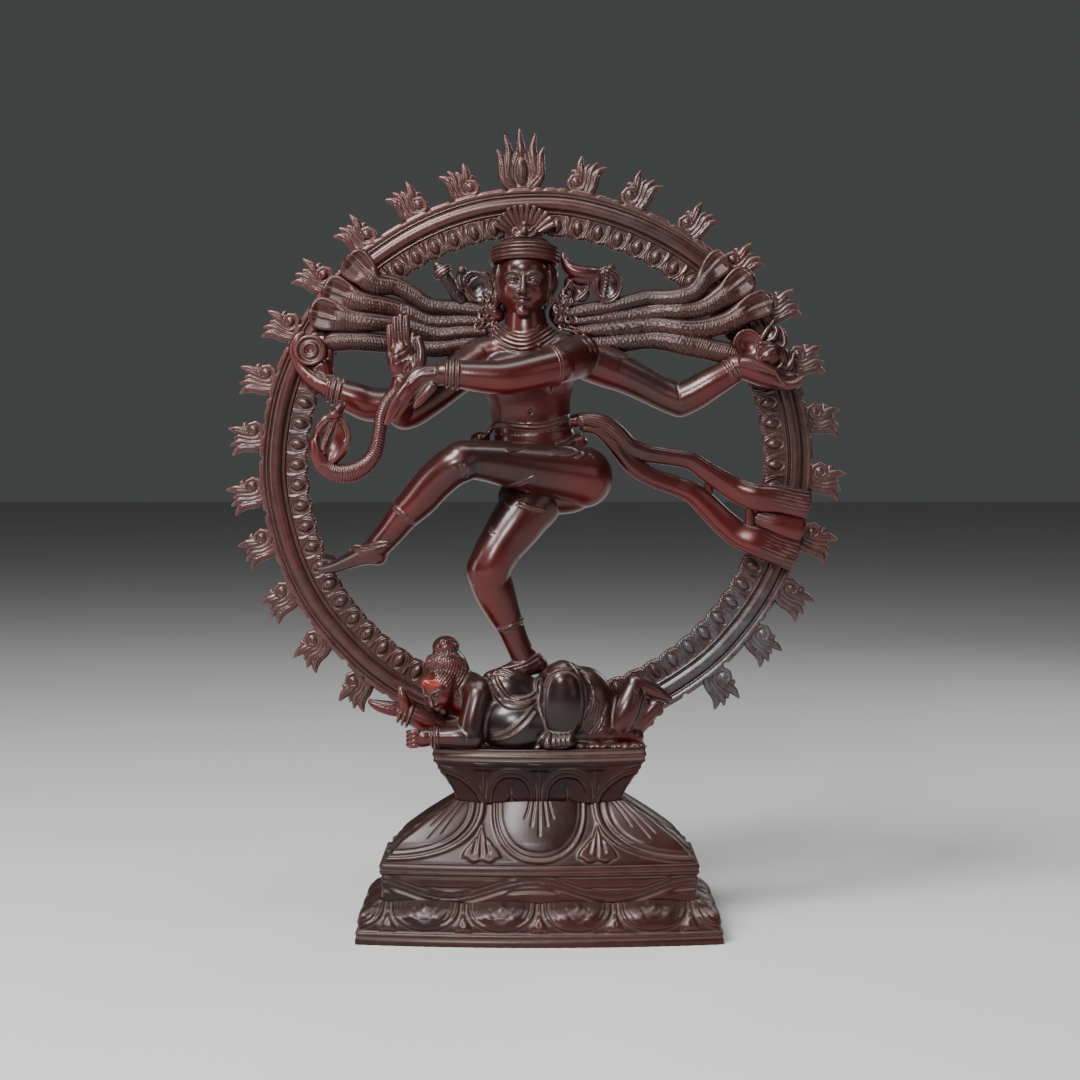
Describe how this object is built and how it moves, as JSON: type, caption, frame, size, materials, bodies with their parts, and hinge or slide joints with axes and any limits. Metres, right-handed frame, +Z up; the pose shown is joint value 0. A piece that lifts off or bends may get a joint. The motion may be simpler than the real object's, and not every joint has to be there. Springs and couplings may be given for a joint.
{
  "type": "nataraja statue",
  "caption": "Cast four-armed dancing figure on a dwarf inside a flaming ring, on a stepped lotus pedestal, a free-standing ornament.",
  "frame": {"origin": "middle of the bounding box at the underside of the plinth", "axes": "+Z up, the dancer faces -Y, +X is to the viewer's right"},
  "size_m": [0.4769, 0.148, 0.6107],
  "materials": {
    "patinated_brass": "cast brass under a dark red-brown lacquered patina, semi-gloss, with grey-brown dust in the recesses",
    "steel_fastener": "plain steel studs, nuts, washers, bar and cotter inside the pedestal"
  },
  "bodies": {
    "root": {"aureole_ring": "patinated_brass", "back_left_arm": "patinated_brass", "back_right_arm": "patinated_brass", "base_plinth": "patinated_brass", "cobra": "patinated_brass", "cross_bar": "steel_fastener", "dwarf": "patinated_brass", "dwarf_serpent": "patinated_brass", "ear_ornament_left": "patinated_brass", "ear_ornament_right": "patinated_brass", "feather_fan": "patinated_brass", "fire_bowl": "patinated_brass", "flame_left_01": "patinated_brass", "flame_left_02": "patinated_brass", "flame_left_03": "patinated_brass", "flame_left_04": "patinated_brass", "flame_left_05": "patinated_brass", "flame_left_06": "patinated_brass", "flame_left_07": "patinated_brass", "flame_left_08": "patinated_brass", "flame_left_09": "patinated_brass", "flame_left_10": "patinated_brass", "flame_left_11": "patinated_brass", "flame_left_12": "patinated_brass", "flame_right_01": "patinated_brass", "flame_right_02": "patinated_brass", "flame_right_03": "patinated_brass", "flame_right_04": "patinated_brass", "flame_right_05": "patinated_brass", "flame_right_06": "patinated_brass", "flame_right_07": "patinated_brass", "flame_right_08": "patinated_brass", "flame_right_09": "patinated_brass", "flame_right_10": "patinated_brass", "flame_right_11": "patinated_brass", "flame_right_12": "patinated_brass", "flame_top": "patinated_brass", "front_left_arm": "patinated_brass", "front_right_arm": "patinated_brass", "hair_locks_left": "patinated_brass", "hair_locks_right": "patinated_brass", "hand_drum": "patinated_brass", "head": "patinated_brass", "headdress": "patinated_brass", "hex_nut_left": "steel_fastener", "hex_nut_right": "steel_fastener", "lotus_cup": "patinated_brass", "lotus_dome": "patinated_brass", "petal_frieze": "patinated_brass", "raised_leg": "patinated_brass", "ring_cotter": "steel_fastener", "sash": "patinated_brass", "standing_leg": "patinated_brass", "stud_left": "steel_fastener", "stud_right": "steel_fastener", "top_slab": "patinated_brass", "torso": "patinated_brass", "washer_left": "steel_fastener", "washer_right": "steel_fastener", "wave_band": "patinated_brass"}
  },
  "joints": []
}
